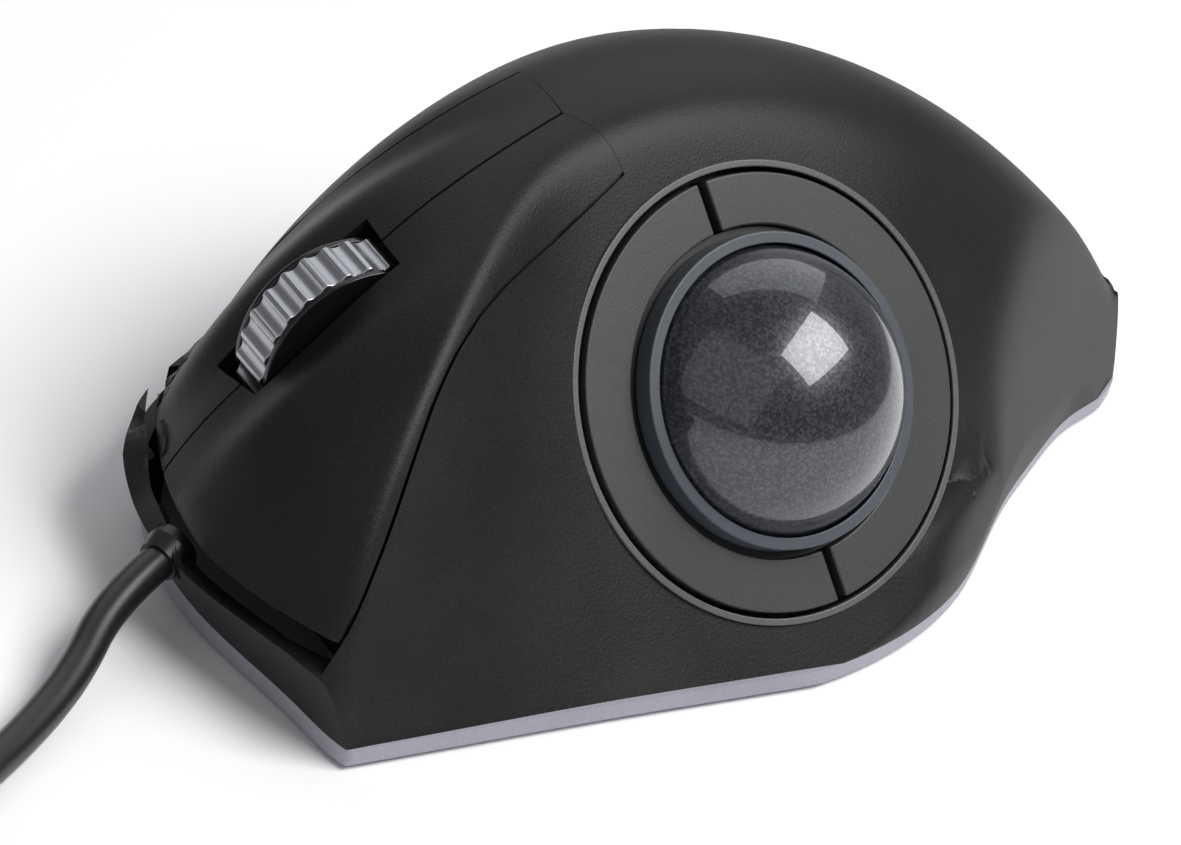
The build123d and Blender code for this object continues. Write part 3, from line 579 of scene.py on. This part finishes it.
class OBJECT_OT_mouse_cord(bpy.types.Operator):
    """Cable from the nose through its coil to the plug"""
    bl_idname = "object.mouse_cord"
    bl_label = "Cable"

    def execute(self, context):
        sizes = context.scene.mouse_cord_sizes
        points = [*LEAD_ROUTE, *coil_points(sizes), *TAIL_ROUTE]
        line = bpy.data.curves.new("cable", "CURVE")
        line.dimensions = "3D"
        spline = line.splines.new("NURBS")
        spline.points.add(len(points) - 1)
        for place, point in zip(spline.points, points):
            place.co = (point[0] * MM, point[1] * MM, point[2] * MM, 1.0)
        spline.order_u = 3
        spline.use_endpoint_u = True
        spline.resolution_u = 8
        line.bevel_depth = sizes.diameter / 2
        line.bevel_resolution = 5
        line.use_fill_caps = True
        cable = bpy.data.objects.new("cable", line)
        context.scene.collection.objects.link(cable)
        line.materials.append(bpy.data.materials["pvc_black"])
        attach(cable, "case")
        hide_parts("cable_lead", "cable_coil", "cable_tail")
        measure = sum((Vector(b) - Vector(a)).length for a, b in zip(points, points[1:]))
        print("cable runs", round(measure, 1), "mm")
        return {"FINISHED"}


# ---------------------------------------------------------------- studio
def area_light(name, place, target, size, power, colour):
    """A square softbox that looks at a target."""
    data = bpy.data.lights.new(name, "AREA")
    data.shape = "RECTANGLE"
    data.size, data.size_y = size
    data.energy = power
    data.color = colour
    lamp = bpy.data.objects.new(name, data)
    bpy.context.scene.collection.objects.link(lamp)
    lamp.location = place
    lamp.rotation_euler = (Vector(target) - Vector(place)).to_track_quat("-Z", "Y").to_euler()
    return lamp


class OBJECT_OT_mouse_studio(bpy.types.Operator):
    """Pale floor, soft light and camera"""
    bl_idname = "object.mouse_studio"
    bl_label = "Studio"

    def execute(self, context):
        scene = context.scene
        look = scene.mouse_studio_look
        work = bmesh.new()
        bmesh.ops.create_grid(work, x_segments=1, y_segments=1, size=3.0)
        mesh = bpy.data.meshes.new("floor")
        work.to_mesh(mesh)
        work.free()
        floor = bpy.data.objects.new("floor", mesh)
        scene.collection.objects.link(floor)
        paper, tree, shader = new_material("paper_white", {"Base Color": shown_colour(look, "floor"),
                                                           "Roughness": 0.9})
        mesh.materials.append(paper)

        world = bpy.data.worlds.new("studio")
        world.use_nodes = True
        world.node_tree.nodes["Background"].inputs["Color"].default_value = linear("f5f6fb")
        world.node_tree.nodes["Background"].inputs["Strength"].default_value = look.surround
        scene.world = world

        middle = Vector((0.0, 0.0, 0.02))
        area_light("key_softbox", BALL_CENTRE + Vector((-0.413, -0.344, 0.844)) * 0.9, BALL_CENTRE,
                   (0.78, 0.52), look.key_power, (1.0, 0.99, 0.98))
        area_light("front_softbox", middle + Vector((-0.35, 0.75, 0.55)), middle, (1.3, 1.0),
                   look.fill_power, (1.0, 0.97, 0.93))
        area_light("back_softbox", middle + Vector((0.75, -0.35, 0.75)), middle, (1.2, 0.9), 3.2,
                   (0.95, 0.97, 1.0))

        data = bpy.data.cameras.new("camera")
        camera = bpy.data.objects.new("camera", data)
        scene.collection.objects.link(camera)
        right = Vector((-0.49947, -0.83551, 0.22907))
        up = Vector((0.55388, -0.10465, 0.82599))
        back = Vector((-0.66615, 0.53943, 0.51504))
        turn = Matrix((right, up, back)).transposed().to_4x4()
        camera.matrix_world = Matrix.Translation(Vector((-0.38192, 0.32193, 0.3073))) @ turn
        data.sensor_width = 36.0
        data.lens = 154.25
        data.clip_start = 0.01
        data.clip_end = 20.0
        scene.camera = camera
        scene.view_settings.view_transform = "Standard"
        return {"FINISHED"}


class VIEW3D_PT_thumb_ball_mouse(bpy.types.Panel):
    """Sizes, colours and steps of the mouse"""
    bl_label = "Thumb Ball Mouse"
    bl_idname = "VIEW3D_PT_thumb_ball_mouse"
    bl_space_type = "VIEW_3D"
    bl_region_type = "UI"
    bl_category = "Thumb Ball Mouse"

    def draw(self, context):
        scene = context.scene
        for group in (scene.mouse_shell_look, scene.mouse_ball_look, scene.mouse_cord_sizes,
                      scene.mouse_studio_look):
            box = self.layout.box()
            for name in group.bl_rna.properties.keys():
                if name not in ("rna_type", "name"):
                    box.prop(group, name)
        for step in STEPS:
            self.layout.operator(step.bl_idname)


GROUPS = {
    "mouse_shell_look": MouseShellLook,
    "mouse_ball_look": MouseBallLook,
    "mouse_cord_sizes": MouseCordSizes,
    "mouse_studio_look": MouseStudioLook,
}
STEPS = (OBJECT_OT_mouse_studio, OBJECT_OT_mouse_finishes, OBJECT_OT_mouse_plug, OBJECT_OT_mouse_cord,
         OBJECT_OT_mouse_shell, OBJECT_OT_mouse_thumb_ring, OBJECT_OT_mouse_wheel, OBJECT_OT_mouse_ball)


def register():
    for kind in (*GROUPS.values(), *STEPS, VIEW3D_PT_thumb_ball_mouse):
        bpy.utils.register_class(kind)
    for name, kind in GROUPS.items():
        setattr(bpy.types.Scene, name, PointerProperty(type=kind))


def unregister():
    for name in GROUPS:
        delattr(bpy.types.Scene, name)
    for kind in reversed((*GROUPS.values(), *STEPS, VIEW3D_PT_thumb_ball_mouse)):
        bpy.utils.unregister_class(kind)


def main():
    register()
    bpy.ops.object.mouse_studio()
    bpy.ops.object.mouse_finishes()
    bpy.ops.object.mouse_plug()
    bpy.ops.object.mouse_cord()
    bpy.ops.object.mouse_shell()
    bpy.ops.object.mouse_thumb_ring()
    bpy.ops.object.mouse_wheel()
    bpy.ops.object.mouse_ball()
    bpy.context.view_layer.update()


if __name__ == "__main__":
    main()
